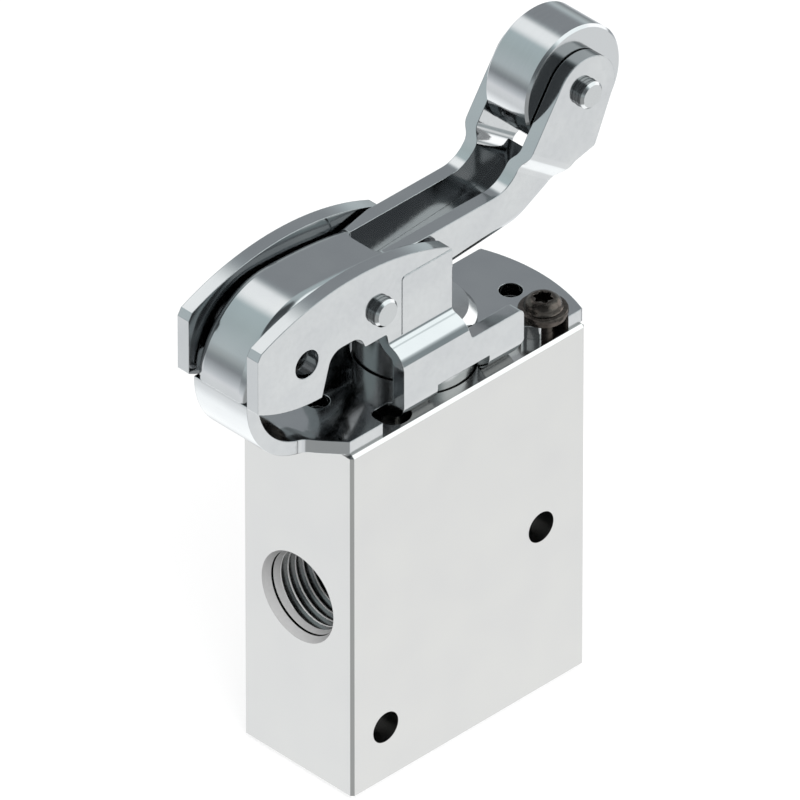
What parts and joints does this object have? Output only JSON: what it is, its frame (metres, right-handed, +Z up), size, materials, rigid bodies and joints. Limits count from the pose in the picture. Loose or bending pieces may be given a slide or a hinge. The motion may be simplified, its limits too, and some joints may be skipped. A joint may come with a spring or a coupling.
{
  "type": "roller lever air valve",
  "caption": "Roller lever operated pneumatic 3/2-way valve: a block body with side ports and a folded steel bracket whose lever presses a plunger.",
  "frame": {"origin": "centre of the body's bottom face, in the middle of the flush bottom plug", "axes": "+X towards the roller end, along the body's length; +Y across the body's width, to the side away from the screw that shows; +Z up, along the plunger"},
  "size_m": [0.0682, 0.02, 0.0951],
  "materials": {
    "anodised_aluminium": "clear anodised over a fine blasted surface",
    "bright_steel": "stamped sheet steel, bright nickel plated",
    "roller_steel": "ground and bright plated",
    "pin_steel": "bright drawn",
    "black_steel": "black oxide",
    "ground_steel": "turned and ground",
    "brass": "turned",
    "spring_steel": "drawn wire",
    "seal_rubber": "moulded nitrile",
    "plug_aluminium": "turned"
  },
  "bodies": {
    "base": {"valve_body": "anodised_aluminium", "bracket": "bright_steel", "bracket_screws": "black_steel", "screw_washers": "black_steel", "pivot_pin": "pin_steel", "return_spring": "spring_steel", "guide_bush": "brass", "bush_ring": "spring_steel", "bush_seal": "seal_rubber", "stem_seal": "seal_rubber", "seat_insert": "brass", "seat_seal": "seal_rubber", "poppet_spring": "spring_steel", "bottom_plug": "plug_aluminium", "plug_seal": "seal_rubber"},
    "lever": {"lever": "bright_steel", "roller_pin": "pin_steel"},
    "roller": {"roller": "roller_steel"},
    "plunger": {"plunger": "ground_steel", "stem": "brass"},
    "poppet": {"poppet": "brass", "poppet_facing": "seal_rubber"}
  },
  "joints": [
    {"name": "lever_hinge", "type": "hinge", "parent": "base", "child": "lever", "pos_m": [-0.0131, 0, 0.072], "axis": [0, 1, 0], "range_deg": [0, 12], "stiffness_Nm_per_rad": 0.5, "springref_deg": -6.88},
    {"name": "roller_spin", "type": "hinge", "parent": "lever", "child": "roller", "pos_m": [0.02473, 0, 0.0866], "axis": [0, 1, 0], "continuous": true},
    {"name": "plunger_slide", "type": "slide", "parent": "base", "child": "plunger", "axis": [0, 0, -1], "range_m": [0, 0.0021], "deforming": ["return_spring"]},
    {"name": "poppet_slide", "type": "slide", "parent": "base", "child": "poppet", "axis": [0, 0, -1], "range_m": [0, 0.0016], "deforming": ["poppet_spring"]}
  ],
  "couplings": [
    {"joint": "plunger_slide", "follows": "lever_hinge", "m_per_rad": 0.0094},
    {"joint": "poppet_slide", "follows": "lever_hinge", "m_per_rad": 0.0071}
  ]
}
